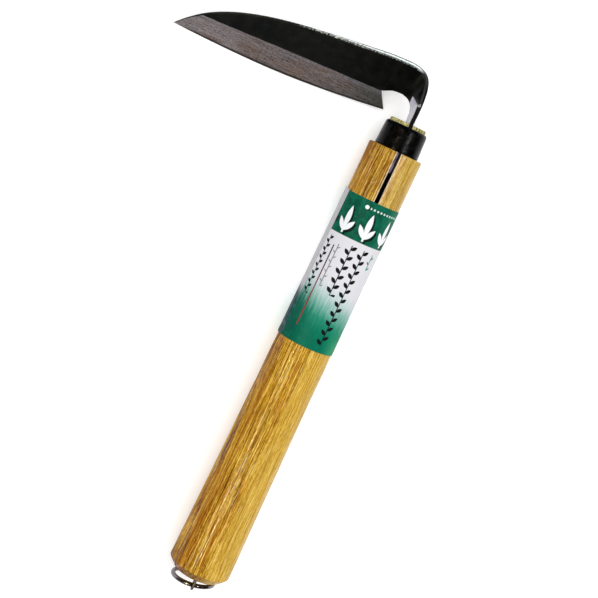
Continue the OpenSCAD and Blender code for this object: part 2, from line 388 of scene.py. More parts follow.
NECK = [
    ((14, 0, -6.6), (14, 0, 9), TANG_T),
    ((19.4, 0.3, -6.4), (20.5, -0.1, 9), TANG_T + 0.1),
    ((22.8, 1.2, -5.8), (25.5, 0, 8.9), 2.5),
    ((25.1, 2.7, -4.8), (29.8, 0.3, 8.7), 2.8),
    ((26.5, 4.8, -3.5), (34, 0.8, 8.4), 3.1),
    ((27.2, 7.2, -2.4), (38, 2.2, 8.1), 3.4),
    ((27.5, 10, -1.7), (40.8, 5.4, 7.6), NECK_T - 0.1),
    (on_blade(14.5, NOTCH[1] + 2.6), on_blade(10.5, -0.1), NECK_T),
    (on_blade(*NOTCH), on_blade(17, spine_e(17)), NECK_T),
]


def catmull(a, b, c, d, t):
    a, b, c, d = (np.asarray(x, float) for x in (a, b, c, d))
    return 0.5 * (2 * b + (c - a) * t + (2 * a - 5 * b + 4 * c - d) * t * t + (3 * b - a - 3 * c + d) * t ** 3)


def neck_key(i, c):
    if i < 0:
        return np.asarray(NECK[0][c], float) - (8, 0, 0)
    if i >= len(NECK):
        return on_blade(27, bevel_e(27)) if c == 0 else on_blade(25, spine_e(25))
    return np.asarray(NECK[i][c], float)


def blade_rulings():
    """[outer, inner, edge or None, thickness, how far along the neck 0..1 or None]"""
    rul = []
    for x, zi, zo, t in ((-53, -3.5, 4.5, TANG_T - 0.1), (-51, -4.2, 5.6, TANG_T), (-30, -5.6, 8, TANG_T),
                         (0, -6.5, 8.8, TANG_T), (8, -6.57, 8.93, TANG_T)):
        rul.append([np.array([x, 0, zo], float), np.array([x, 0, zi], float), None, t, 0.0])
    steps = 12
    for i in range(len(NECK) - 1):
        for s in range(steps):
            t = s / steps
            rul.append([catmull(neck_key(i - 1, 1), neck_key(i, 1), neck_key(i + 1, 1), neck_key(i + 2, 1), t),
                        catmull(neck_key(i - 1, 0), neck_key(i, 0), neck_key(i + 1, 0), neck_key(i + 2, 0), t),
                        None, lerp(NECK[i][2], NECK[i + 1][2], t), (i + t) / (len(NECK) - 1)])
    first = len(rul)
    ls = [NOTCH[0] + 1.0 * s for s in range(81)] + [NOTCH[0] + 80 + 0.6 * s for s in range(1, 45)]
    ls = [l for l in ls if l < 126.7] + [126.8]
    for l in ls:
        lean = 2.8 * (1 - smooth01((l - NOTCH[0]) / 24))
        hl = (NOTCH[0] - HEEL[0]) * (1 - smooth01((l - NOTCH[0]) / 34))
        lo = min(l - lean, TIP[0] - 0.3)
        rul.append([on_blade(lo, spine_e(lo)), on_blade(l, bevel_e(l)),
                    on_blade(l - hl, min(edge_e(l - hl), bevel_e(l) - 0.25)), blade_thick(l), 1.0])
    return rul, first


def build_blade():
    rul, fe = blade_rulings()
    n = len(rul)
    mids = [(r[0] + r[1]) / 2 for r in rul]
    A, K, M = 18, 10, 14          # pieces across the face, through the thickness, down the bevel
    b = Build()
    front, back, spine, inner, bf, bb = [], [], [], [], [], []

    def corner_curve(w, t, r, side):
        """Points from the front face round to the back face; w is the place of the rim, side +1 or -1."""
        pts = []
        for k in range(4):
            a = math.pi / 2 * k / 3
            pts.append((w - side * r * (1 - math.sin(a)), t / 2 - r * (1 - math.cos(a))))
        for k in range(1, K - 6):
            pts.append((w, lerp(t / 2 - r, -t / 2 + r, k / (K - 6))))
        for k in range(4):
            a = math.pi / 2 * (1 - k / 3)
            pts.append((w - side * r * (1 - math.sin(a)), -t / 2 + r * (1 - math.cos(a))))
        return pts                  # K + 1 points

    for i, (o, inn, edge, t, s) in enumerate(rul):
        u = (o - inn) / np.linalg.norm(o - inn)
        w = np.linalg.norm(o - inn)
        if i >= fe:
            nn = BLADE_N
        else:
            nn = np.cross(o - inn, mids[min(n - 1, i + 1)] - mids[max(0, i - 1)])
            nn = nn / np.linalg.norm(nn)
        blade = i >= fe
        t1 = t * 0.9 if blade else t
        if i == fe - 1:
            t1 = t * 0.95
        r = min(0.75, 0.3 * t, w * 0.3)
        ro = r
        ri = 0.0 if blade else min(0.6, 0.26 * t)

        def at(uu, vv, bit=0.0):
            p = inn + u * uu + nn * vv
            l, e = blade_le(p)
            k = 0.5 - vv / t if bit else (0.0 if blade else 1 - uu / w)
            return b.pt(p, (l, e, s if not blade else 1.0 + (l - NOTCH[0]) / 100), k)

        sp = [at(uu, vv, 1) for uu, vv in corner_curve(w, t, ro, 1)]
        if blade:
            ir = [at(0, lerp(t1 / 2, -t1 / 2, k / K)) for k in range(K + 1)] if i == fe else None
            fi, bi = (ir[0], ir[-1]) if ir else (at(0, t1 / 2), at(0, -t1 / 2))
        else:
            ir = [at(uu, vv) for uu, vv in corner_curve(0, t1, ri, -1)]
            fi, bi = ir[0], ir[-1]
        frow, brow = [sp[0]], [sp[-1]]
        for k in range(1, A):
            f = k / A
            uu = lerp(w - ro, ri, f)
            tt = lerp(t, t1, f)
            frow.append(at(uu, tt / 2))
            brow.append(at(uu, -tt / 2))
        frow.append(fi)
        brow.append(bi)
        front.append(frow); back.append(brow); spine.append(sp); inner.append(ir)
        if blade:
            ef, eb = edge - nn * (t1 / 2 - 0.2), edge - nn * t1 / 2
            p_f, p_b = inn + nn * t1 / 2, inn - nn * t1 / 2
            rowf, rowb = [fi], [bi]
            for m in range(1, M + 1):
                f = m / M
                for row, pa, pe in ((rowf, p_f, ef), (rowb, p_b, eb)):
                    p = pa + (pe - pa) * f
                    l, e = blade_le(p)
                    row.append(b.pt(p, (l, e, 1.0 + (l - NOTCH[0]) / 100), f))
            bf.append(rowf); bb.append(rowb)

    b.grid(front, 0)
    b.grid(back, 1, flip=True)
    b.grid([s for s in spine], 2, flip=True)
    b.grid(inner[:fe + 1], 3)
    b.grid(bf, 4)
    b.grid(bb, 5, flip=True)
    b.grid([[f[-1], g[-1]] for f, g in zip(bf, bb)], 4)
    # heel: the cut end of the bevelled part
    rows = [inner[fe]]
    for m in range(1, M):
        pf, pb = np.array(b.p[bf[0][m]]), np.array(b.p[bb[0][m]])
        row = [bf[0][m]]
        for k in range(1, K):
            p = lerp(pf, pb, k / K)
            row.append(b.pt(p, (*blade_le(p), 1.0)))
        rows.append(row + [bb[0][m]])
    b.grid(rows, 6)
    b.face(rows[-1] + [bb[0][M], bf[0][M]], 6)
    # end of the tang
    b.grid([front[0], back[0]], 3)
    b.face(spine[0][::-1], 3)
    b.face(inner[0], 3)
    # tip
    b.grid([front[-1], back[-1]], 4)
    b.grid([bf[-1], bb[-1]], 4)
    b.face(spine[-1], 4)
    for line in ([r[-1] for r in front[fe:]], [r[-1] for r in bf], [r[-1] for r in bb], bf[0], bb[0], inner[fe],
                 [r[-1] for r in rows] + [bb[0][M]], front[0], back[0], front[-1], back[-1], bf[-1], bb[-1], spine[0], inner[0], spine[-1]):
        b.line_sharp(line)
    return b.make("blade_forged", "sickle", ["blade"])


# ---------------------------------------------------------------------- handle
def build_handle():
    b = Build()
    N, K, M = 88, 8, 12          # pieces round each half, across a slit end, down a slit wall
    c = 0.3                       # worn edge of the slit
    s = SLIT_W / 2

    def half_ring(x, r, side):
        """Arc of one half from the +Z side round to the -Z side, then the slit wall back up."""
        f0 = math.asin((s + c) / r)
        arc = []
        for k in range(N + 1):
            f = lerp(f0, math.pi - f0, k / N)
            arc.append(b.pt((-x, side * r * math.sin(f), r * math.cos(f)), (-x, side * f * r, r)))
        zt = r * math.cos(f0) - 0.2
        wall = [b.pt((-x, side * s, lerp(-zt, zt, k / M)), (-x, 0, 0)) for k in range(M + 1)]
        return arc, wall

    def end_arc(x, r, top):
        """The bridge across the slit's line between the two halves, without its ends."""
        f0 = math.asin((s + c) / r)
        pts = []
        for k in range(1, K):
            f = lerp(-f0, f0, k / K)
            if top:
                pts.append(b.pt((-x, r * math.sin(f), r * math.cos(f)), (-x, f * r, r)))
            else:
                pts.append(b.pt((-x, -r * math.sin(f), -r * math.cos(f)), (-x, (math.pi + f) * r, r)))
        return pts

    # from the head to the slit's end: (x along the wood, radius)
    prof = [(-SPIGOT_LEN, SPIGOT_R - 0.75), (-SPIGOT_LEN + 0.12, SPIGOT_R - 0.35), (-SPIGOT_LEN + 0.45, SPIGOT_R - 0.06),
            (-SPIGOT_LEN + 0.9, SPIGOT_R)]
    prof += [(x, SPIGOT_R) for x in (-12.5, -10, -7.5, -5, -2.5, -0.06)]
    prof += [(0.0, HANDLE_R - 2.4), (0.02, HANDLE_R - CORNER)]
    prof += [(CORNER * (1 - math.cos(a)) + 0.02, HANDLE_R - CORNER * (1 - math.sin(a))) for a in (0.35, 0.75, 1.15)]
    prof += [(x, wood_r0(x)) for x in (1.0, 2.0, 3.5)] + [(x, wood_r0(x)) for x in range(5, 60, 3)] + [(SLIT_LEN, wood_r0(SLIT_LEN))]
    halves = {+1: [], -1: []}
    sharp_at = []
    for i, (x, r) in enumerate(prof):
        for side in (1, -1):
            halves[side].append(half_ring(x, r, side))
    for side in (1, -1):
        rings = [a + w for a, w in halves[side]]
        for i, (a, bb_) in enumerate(zip(rings[:-1], rings[1:])):
            n = len(a)
            for j in range(n):
                k = (j + 1) % n
                x0, x1 = prof[i][0], prof[i + 1][0]
                zone = 0
                if N <= j:                     # worn edge or wall
                    zone = 2 if (j == N or j == n - 1) else 3
                elif x1 <= -0.06:
                    zone = 1                   # spigot
                elif x0 <= 0.0:
                    zone = 4                   # shoulder face, end grain
                elif x1 < 0.9:
                    zone = 0
                b.face([a[j], a[k], bb_[k], bb_[j]], zone)
        b.face(rings[0][::-1], 5)
        b.line_sharp(rings[0], True)
        for key in (9, 10, 11):
            b.line_sharp(rings[key][:N + 1])
        for j in (N, N + 1, len(rings[0]) - 1, 0):
            b.line_sharp([r[j] for r in rings])
    # full rings from the slit's end to the butt
    x, r = prof[-1]
    (ap, wp), (am, wm) = halves[1][-1], halves[-1][-1]
    top, bot = end_arc(x, r, True), end_arc(x, r, False)
    ring0 = ap + bot + am[::-1] + top          # +Z side, over +Y, -Z, over -Y and back
    floor_loop = [ap[0]] + wp[::-1] + [ap[-1]] + bot + [am[-1]] + wm + [am[0]] + top
    b.face(floor_loop, 3)
    b.line_sharp(floor_loop, True)
    xs = [62 + 3 * k for k in range(17)] + [113, STRAIGHT[0]] + [120, 125, 130] + [STRAIGHT[1]]
    xs += list(np.linspace(138, RIM_X - 1.5, 26))
    tail = [(x, wood_r(x)) for x in xs]
    d = (BUTT_R - BEVEL_IN) - (BUTT_R - 0.15)
    tail += [(RIM_X - 0.6, BUTT_R - SKIN - 0.005), (RIM_X, BUTT_R - SKIN - 0.04), (RIM_X + 0.35, BUTT_R - 0.22), (RIM_X + 0.8, BUTT_R - 0.6)]
    tail += [(lerp(RIM_X + 0.3, HANDLE_LEN, f), lerp(BUTT_R - 0.15, BUTT_R - BEVEL_IN, f)) for f in (0.3, 0.5, 0.7, 0.88)]
    tail += [(HANDLE_LEN - 0.16, BUTT_R - BEVEL_IN + 0.12), (HANDLE_LEN - 0.03, BUTT_R - BEVEL_IN - 0.2)]
    rings = [ring0]
    L = len(ring0)
    ang = [math.atan2(b.p[i][1], b.p[i][2]) for i in ring0]
    for x, r in tail:
        rings.append([b.pt((-x, r * math.sin(a), r * math.cos(a)), (-x, a * r, r)) for a in ang])
    bx = len(rings)
    for i, (a, q) in enumerate(zip(rings[:-1], rings[1:])):
        x = tail[i][0]
        zone = 6 if x > RIM_X + 0.4 else 0
        for j in range(L):
            k = (j + 1) % L
            b.face([a[j], a[k], q[k], q[j]], zone)
    x = HANDLE_LEN
    prev = rings[-1]
    for r in (11.5, 9.5, 7.0, 4.5, 2.0):
        row = [b.pt((-x, r * math.sin(a), r * math.cos(a)), (-x, 0, r)) for a in ang]
        for j in range(L):
            k = (j + 1) % L
            b.face([prev[j], prev[k], row[k], row[j]], 5)
        prev = row
    cpt = b.pt((-x, 0, 0))
    for j in range(L):
        b.face([prev[j], prev[(j + 1) % L], cpt], 5)
    return b.make("handle_wood", "sickle", ["handle"])


# --------------------------------------------------------------------- ferrule
def build_ferrule():
    b = Build()
    n = 144
    r = 2.0
    prof = [(FER_R1 - 1.2, 0.05), (FER_R1 - 0.45, 0.03), (FER_R1 - 0.12, 0.12), (FER_R1, 0.42)]
    for k in range(1, 12):
        f = k / 12
        prof.append((lerp(FER_R1, FER_R2 + 0.05, f), lerp(0.42, FER_H - r, f)))
    for k in range(0, 10):
        a = math.pi / 2 * k / 10
        prof.append((FER_R2 + 0.05 - r * 0.65 * (1 - math.cos(a)), FER_H - r + r * math.sin(a)))
    prof += [(FER_R2 - r * 0.65 - 0.05, FER_H), (SPIGOT_R + 0.25, FER_H - 0.03), (SPIGOT_R + 0.06, FER_H - 0.2)]
    inner = [(SPIGOT_R + 0.04, FER_H - 0.8), (SPIGOT_R + 0.04, 8), (SPIGOT_R + 0.04, 4), (SPIGOT_R + 0.04, 0.4), (SPIGOT_R + 0.12, 0.06)]
    rows = []
    for rr, h in prof + inner:
        row = []
        for k in range(n):
            a = TAU * k / n
            out = rr > SPIGOT_R + 0.5
            wob = 0.0
            if out:
                wob = 0.035 * math.sin(2 * a + 0.7) + 0.03 * math.sin(5 * a + h * 0.5) * math.sin(0.45 * h + 1) - 0.03
            row.append(b.pt((h, (rr + wob) * math.sin(a), (rr + wob) * math.cos(a)), (h, a * rr, rr)))
        rows.append(row)
    for i in range(len(rows)):
        a, q = rows[i], rows[(i + 1) % len(rows)]
        for j in range(n):
            k = (j + 1) % n
            b.face([a[j], a[k], q[k], q[j]], 0 if i < len(prof) - 1 else 1)
    b.line_sharp(rows[len(prof) - 1], True)
    return b.make("ferrule_black", "sickle", ["ferrule"])


# ----------------------------------------------------------------------- label
def build_label():
    """The sheet goes once round from under its own overlap; phi runs from +Z towards +Y."""
    b = Build()
    x0, x1 = LAB
    nx, nf = 54, 150
    # overlap: top layer ends at phi 66 deg .. 96 deg
    over0, over1 = math.radians(66), math.radians(96)
    start = over0 + 0.02
    total = TAU + (over1 - over0) - 0.04

    def off(s):
        """Height of the sheet's inner face above the wood, s from 0 (under) to 1 (top end)."""
        turn = s * total
        lift = smooth01((turn - (TAU - 0.10)) / 0.12) * (LAB_T + 0.02)
        tip = smooth01((turn - (total - 0.16)) / 0.16)
        return 0.03 + lift + 0.12 * tip ** 2

    def xe(x, s):
        top = smooth01((s * total - TAU) / 0.2)
        return x - (0.9 * top if x < (x0 + x1) / 2 else 0.0)

    outer, innr = [], []
    for k in range(nf + 1):
        s = k / nf
        phi = start + s * total
        ro, ri = [], []
        for j in range(nx + 1):
            f = j / nx
            x = lerp(x0, x1, f)
            top = smooth01((s * total - TAU) / 0.2)
            x -= 0.9 * top * (1 - f)
            wave = 0.05 * top * math.sin(x * 0.21 + 1.0) ** 2
            edge = min(f, 1 - f) * (x1 - x0)
            curl = 0.05 * math.exp(-edge / 1.2) * (0.5 + 0.5 * math.sin(3 * phi + f * 5))
            h = off(s) + wave + curl
            r = wood_r0(x) + h
            q = (-x, (phi - TAU) * wood_r0(x), s)
            ri.append(b.pt((-x, r * math.sin(phi), r * math.cos(phi)), q))
            r += LAB_T
            ro.append(b.pt((-x, r * math.sin(phi), r * math.cos(phi)), q))
        outer.append(ro); innr.append(ri)
    b.grid(outer, 0)
    b.grid(innr, 1, flip=True)
    b.grid([[o[0], i[0]] for o, i in zip(outer, innr)], 2)
    b.grid([[o[-1], i[-1]] for o, i in zip(outer, innr)], 2, flip=True)
    b.grid([outer[0], innr[0]], 2)
    b.grid([outer[-1], innr[-1]], 2, flip=True)
    for line in (outer[0], innr[0], outer[-1], innr[-1], [o[0] for o in outer], [o[-1] for o in outer],
                 [o[0] for o in innr], [o[-1] for o in innr]):
        b.line_sharp(line)
    return b.make("label_paper", "sickle", ["label_sleeve"])


# -------------------------------------------------------------- staple and ring
def sweep(b, path, radius, sides, closed, zone=0, squash=None, up=None):
    """A round wire along path (list of points); returns its rings."""
    P = [np.asarray(p, float) for p in path]
    n = len(P)
    rings = []
    ref = None
    length = 0.0
    for i in range(n):
        a = P[(i - 1) % n] if closed or i > 0 else P[i]
        c = P[(i + 1) % n] if closed or i < n - 1 else P[i]
        t = c - a
        t /= np.linalg.norm(t)
        if up is not None:
            ref = np.asarray(up, float)
            ref = ref - (ref @ t) * t
        elif ref is None:
            ref = np.array([0, 0, 1.0]) if abs(t[2]) < 0.9 else np.array([1.0, 0, 0])
            ref = ref - (ref @ t) * t
        else:
            ref = ref - (ref @ t) * t
        ref = ref / np.linalg.norm(ref)
        bi = np.cross(t, ref)
        if i:
            length += np.linalg.norm(P[i] - P[i - 1])
        rr = radius(i / (n if closed else n - 1)) if callable(radius) else radius
        ring = []
        for k in range(sides):
            a_ = TAU * k / sides
            ring.append(b.pt(P[i] + rr * (math.cos(a_) * ref + math.sin(a_) * bi), (length, a_, rr)))
        rings.append(ring)
    use = rings + ([rings[0]] if closed else [])
    b.grid(use, zone, closed=True)
    return rings


def cap(b, ring, centre, zone=0):
    c = b.pt(centre, b.q[ring[0]])
    for j in range(len(ring)):
        b.face([ring[j], ring[(j + 1) % len(ring)], c], zone)


def build_staple():
    b = Build()
    leg = RING_OFF + 9.6
    path = []
    cx = -HANDLE_LEN - RING_OFF
    for k in range(12):
        path.append((cx + leg * (1 - k / 12), 0, STAPLE_Z + STAPLE_GAP))
    for k in range(25):
        a = math.pi * k / 24
        path.append((cx - STAPLE_GAP * math.sin(a), 0, STAPLE_Z + STAPLE_GAP * math.cos(a)))
    for k in range(1, 13):
        path.append((cx + leg * k / 12, 0, STAPLE_Z - STAPLE_GAP))
    n = len(path)

    def rad(f):
        e = min(f, 1 - f) * n
        return STAPLE_W * (0.25 + 0.75 * smooth01((e + 0.2) / 1.6))
    rings = sweep(b, path, rad, 20, False, up=(0, 1, 0))
    cap(b, rings[0], path[0]); cap(b, rings[-1], path[-1])
    return b.make("staple_wire", "sickle", ["ring_staple"])


def build_ring():
    b = Build()
    t = math.radians(RING_TURN)
    cx = -HANDLE_LEN - RING_OFF
    side = np.array([-math.sin(t), math.cos(t), 0.0])
    up = np.array([0, 0, 1.0])
    c = np.array([cx, 0, STAPLE_Z - RING_R])
    n = 168
    gap = math.radians(203)       # where the wire's two ends meet
    path, rads = [], []
    for k in range(n + 1):
        a = gap + math.radians(0.5) + (TAU - math.radians(1.0)) * k / n
        path.append(c + RING_R * (math.sin(a) * side + math.cos(a) * up))
    normal = np.cross(side, up)

    def rad(f):
        e = min(f, 1 - f) * TAU * RING_R
        return RING_W * (0.86 + 0.14 * smooth01(e / 0.22))
    rings = sweep(b, path, rad, 28, False, up=normal)
    cap(b, rings[0], path[0]); cap(b, rings[-1], path[-1])
    b.line_sharp(rings[0], True); b.line_sharp(rings[-1], True)
    return b.make("ring_wire", "ring", ["hanging_ring"])


# ------------------------------------------------------------------- materials
def mat_blade():
    s = Shader("forged_blade")
    l, e, q = s.point("hq")
    k = s.share()
    zone = s.zone()
    x, y, z = s.point("hp")
    H = s.vec(x, y, z)
    is_bevel = s.band(zone, 3.5, 4.5, 0.1)
    is_spine = s.band(zone, 1.5, 2.5, 0.1)
    is_heel = s.step(zone, 5.5, 5.9)
    is_front = s.step(zone, 0.4, 0.6, 1.0, 0.0)
    # black forge scale, faintly mottled and a little greyer towards the tip
    mott = s.noise(H, 0.2, 5, 0.62)
    fine = s.noise(H, 1.6, 4, 0.66)
    dark = s.mix(s.step(mott, 0.38, 0.68), "040505", "070808")
    grey = s.mix(s.step(mott, 0.35, 0.68), "0b0d0e", "111413")
    black = s.mix(s.step(l + (mott - 0.5) * 30.0, 6.0, 62.0), dark, grey)
    black = s.mix(s.step(fine, 0.50, 0.72) * 0.6, black, s.mix(s.step(l, 10.0, 60.0), "0b0e0f", "212523"))
    # ground bevel: streaks along the edge, grey at the tip, brown in the middle, dark at the notch
    streak = s.noise(s.vec(l * 0.055, e * 1.4, 0.0), 1.0, 5, 0.70)
    streak2 = s.noise(s.vec(l * 0.30, e * 2.4, 3.0), 1.0, 3, 0.70)
    patch = s.noise(s.vec(l * 0.075, e * 0.26, 7.0), 1.0, 4, 0.62)
    grit = s.noise(s.vec(l * 0.85, e * 1.25, 5.0), 1.0, 4, 0.78)
    g = s.clamp(streak * 0.34 + streak2 * 0.26 + grit * 0.40)
    v = s.step(g, 0.42, 0.58, soft=False)
    tipc = s.mix(v, "534d51", "968f92")
    midc = s.mix(v, "3b3533", "83797a")
    rust = s.mix(v, "423430", "827069")
    notc = s.mix(v, "1b1b1e", "5b5b57")
    bev = s.mix(s.step(l + (patch - 0.5) * 40.0, 70.0, 112.0), midc, tipc)
    bev = s.mix(s.step(patch, 0.46, 0.60) * s.band(l, 30.0, 116.0, 8.0) * 0.8, bev, rust)
    bev = s.mix(s.step(l + (patch - 0.5) * 24.0, 16.0, 52.0, 1.0, 0.0), bev, notc)
    cool = s.step(k + (patch - 0.5) * 0.7, 0.05, 0.36, 1.0, 0.0)   # cooler just under the bevel line
    bev = s.mix(cool * 0.5, bev, s.mix(v, "4b4a50", "827f86"))
    rim = s.step(k, 0.875, 0.94)           # dark line at the very edge
    bev = s.mix(rim * 0.85, bev, "161414")
    # ground spine: a bright speckled strip between two dark corners
    spk = s.noise(s.vec(l * 1.1, e * 1.1, z * 1.1), 1.0, 3, 0.75)
    strip = is_spine * s.band(k + (spk - 0.5) * 0.26, 0.05, 0.62, 0.04)
    thr = s.step(l, 24.0, 80.0, 0.38, 0.57, soft=False)
    speck = s.step(spk - thr, -0.035, 0.035)
    bright = strip * s.step(q, 0.72, 0.84) * s.step(l, 60.0, 73.0, 1.0, 0.0) * speck
    # grey rim round the bend: ground steel with a painted reflection, lighter grey along the outer edge
    grey_rim = is_spine * s.band(k, 0.10, 0.50, 0.05) * s.band(q, 0.22, 0.78, 0.10)
    # bare steel on the tang's side as far as the black starts
    hook = s.mn(k * k * 0.52 + 0.25, 0.48 - (k - 0.68) * 0.5)
    bare = is_front * s.step(q - hook + (spk - 0.5) * 0.03, -0.014, 0.014, 1.0, 0.0)
    chip = is_spine * s.band(q, 0.222, 0.258, 0.006) * s.band(k, 0.05, 0.55, 0.05)
    col = s.mix(is_bevel, black, bev)
    # painted reflection: the grey rim round the bend
    col = s.mix(grey_rim * s.step(fine, 0.35, 0.6, 0.4, 1.0), col, "2b2e30")
    col = s.mix(bright, col, "dfe8e8")
    # pale lilac patches on the tang's edge down the slit: a painted sheen, standing in for light caught on the steel
    tang = is_spine * s.band(x, -11.0, 3.0, 0.5) * s.step(s.noise(s.vec(x * 0.16, y, z * 0.4), 1.0, 2, 0.5), 0.46, 0.56)
    col = s.mix(tang, col, "b3a6c0")
    col = s.mix(s.mx(bare, chip), col, s.mix(s.step(streak2, 0.35, 0.65), "a29fae", "b9b7c4"))
    col = s.mix(is_heel, col, "2f2d2e")
    s.set(Base_Color=col)
    shiny = s.mx(s.mx(bare, bright), chip)
    s.set(Metallic=s.mx(shiny, s.mx(is_bevel * 0.3, is_heel * 0.3)))
    rough = s.step(mott, 0.3, 0.7, 0.30, 0.42)
    rough = rough + is_bevel * s.step(g, 0.3, 0.7, 0.08, 0.20)
    rough = rough * (1.0 - shiny) + shiny * s.step(spk, 0.3, 0.7, 0.18, 0.34)
    s.set(Roughness=rough)
    h = (fine * 0.3 + mott * 0.4) * (1.0 - is_bevel) + is_bevel * g
    s.set(Normal=s.bump(h, 0.05, 0.6))
    s.bsdf.inputs["Specular IOR Level"].default_value = 0.10
    return s


def mat_wood():
    s = Shader("varnished_wood")
    x, y, z = s.point("hp")
    zone = s.zone()
    warp = s.noise(s.vec(x * 0.010, y * 0.05, z * 0.05), 1.0, 2, 0.5)
    warp2 = s.noise(s.vec(x * 0.035, y * 0.20, z * 0.20), 1.0, 2, 0.5)
    yy = y + 60.0
    zz = z + 16.0
    rad = s.sqrt(yy * yy + zz * zz) + warp * 5.0 + warp2 * 0.9
    broad = s.noise(s.vec(rad * 0.30, x * 0.0035, 4.0), 1.0, 3, 0.55)
    line = s.noise(s.vec(rad * 0.85, x * 0.008, 9.0), 1.0, 3, 0.62)
    thin = s.noise(s.vec(rad * 2.1, x * 0.014, 2.0), 1.0, 3, 0.70)
    fibre = s.noise(s.vec(x * 0.045, y * 1.7, z * 1.7), 1.0, 3, 0.74)
    grit = s.noise(s.vec(x * 0.42, y * 1.9, z * 1.9), 1.0, 3, 0.78)
    t = broad * 0.14 + line * 0.22 + thin * 0.52 + fibre * 0.62 + grit * 0.42 - 0.46
    mid = s.step(y + (broad - 0.5) * 12.0 + (line - 0.5) * 10.0, -6.0, 1.5)
    plain = s.ramp(t * 0.95 + 0.025, [(0.33, "86601a"), (0.43, "ab812c"), (0.50, "bf9837"), (0.57, "cfaa48"), (0.66, "e4c872")])
    deep = s.ramp(t, [(0.37, "462300"), (0.44, "80520a"), (0.50, "a67b1a"), (0.55, "c0962c"), (0.61, "e0bb58")])
    col = s.mix(mid, plain, deep)
    # short dark pores along the grain, and short pale streaks
    pore = s.noise(s.vec(x * 0.045, y * 2.0, z * 2.0), 1.0, 2, 0.6)
    pmask = s.step(pore, 0.60, 0.69) * s.step(mid, 0.0, 1.0, 0.35, 1.0)
    col = s.mix(pmask * 0.70, col, "5a3408")
    dash = s.noise(s.vec(x * 0.035, y * 1.3, z * 1.3 + 11.0), 1.0, 3, 0.62)
    col = s.mix(s.step(dash, 0.54, 0.63) * s.step(mid, 0.0, 1.0, 0.12, 0.60), col, "96500f")
    pale = s.noise(s.vec(x * 0.045, y * 1.9, z * 1.9 + 8.0), 1.0, 2, 0.6)
    col = s.mix(s.step(pale, 0.59, 0.69) * 0.55, col, "eed893")
    # browner wood on the blade's side, also darkened there as painted shade; redder low down on it
    side = s.step(y + (broad - 0.5) * 8.0, 6.0, 12.5)
    col = s.mix(side, col, (0.96, 0.90, 0.72, 1.0), "MULTIPLY")
    head = s.step(x, -52.0, -20.0)
    col = s.mix(head, col, s.mix(mid, (0.88, 0.92, 1.28, 1.0), (0.86, 0.84, 1.05, 1.0)), "MULTIPLY")
    band = s.band(y + (warp - 0.5) * 8.0 + (line - 0.5) * 3.0, 9.8, 13.4, 1.1) * s.step(z, 0.0, 2.0) * s.step(x, -150.0, -105.0, 1.0, 0.0)
    col = s.mix(band * 0.34, col, "95540f")
    red = s.step(s.noise(s.vec(x * 0.02, y * 0.35, z * 0.35 + 3.0), 1.0, 2, 0.5), 0.55, 0.68)
    col = s.mix(red * s.step(mid, 0.0, 1.0, 0.3, 1.0) * 0.6, col, (0.96, 0.70, 0.50, 1.0), "MULTIPLY")
    end = s.band(zone, 3.5, 5.5, 0.1)
    rings2 = s.noise(s.vec(rad * 0.9, 2.0, 2.0), 1.0, 3, 0.6)
    endcol = s.mix(s.step(rings2, 0.40, 0.60), "9b9461", "5c5429")
    endcol = s.mix(s.step(s.noise(s.vec(y, z, 1.0), 1.9, 2, 0.6), 0.50, 0.60) * 0.85, endcol, "4a3f1c")
    butt_end = s.mix(s.step(rings2, 0.40, 0.60), "b98f49", "8c6532")
    endcol = s.mix(s.step(x, -120.0, -100.0), butt_end, endcol)
    col = s.mix(end, col, endcol)
    spig = s.band(zone, 0.5, 1.5, 0.1)
    spg = s.mix(s.step(s.noise(s.vec(x * 0.3, y * 1.6, z * 1.6), 1.0, 3, 0.7), 0.44, 0.56), "5d5428", "c3bb7f")
    col = s.mix(spig, col, spg)
    cut = s.step(zone, 5.5, 5.9)            # butt bevel, cut across the grain
    shadow = s.mix(s.step(y + (fibre - 0.5) * 6.0, -10.0, 5.0), (0.84, 0.80, 0.58, 1.0), (0.50, 0.40, 0.26, 1.0))
    col = s.mix(cut, col, shadow, "MULTIPLY")
    # the slit's walls painted near-black: painted shade down the narrow slit
    wall = s.band(zone, 2.5, 3.5, 0.1)
    col = s.mix(wall, col, "120c08")
    # raw edges of the slit
    lip = s.step(s.absv(y), 1.50, 1.85, 1.0, 0.0) * s.band(x, -59.5, 0.5, 0.8) * s.step(grit + fibre * 0.3, 0.52, 0.70) * 0.85
    worn = s.mx(s.band(zone, 1.5, 2.5, 0.1) * s.step(fibre + grit * 0.3, 0.45, 0.72, 0.25, 0.9), lip * s.step(zone, 0.4, 0.6, 1.0, 0.0))
    col = s.mix(worn, col, "e8d6ae")
    s.set(Base_Color=col)
    s.set(Roughness=s.step(fibre, 0.3, 0.7, 0.42, 0.6))
    hb = fibre * 0.5 + thin * 0.4 + (1.0 - pmask) * 0.4
    s.set(Normal=s.bump(hb, 0.10, 0.8))
    s.bsdf.inputs["Specular IOR Level"].default_value = 0.03
    gloss = s.noise(s.vec(x * 0.013, y * 0.9, z * 0.9 + 5.0), 1.0, 2, 0.6)
    s.set(Coat_Weight=s.step(gloss, 0.53, 0.57, 0.0, 1.0), Coat_Roughness=0.045, Coat_IOR=1.32)
    coat_h = s.noise(s.vec(x * 0.008, y * 1.5, z * 1.5), 1.0, 3, 0.66) * 0.7 + pmask * -0.2 + fibre * 0.16
    s.put(s.bsdf.inputs["Coat Normal"], s.bump(coat_h, 0.13, 1.0))
    return s


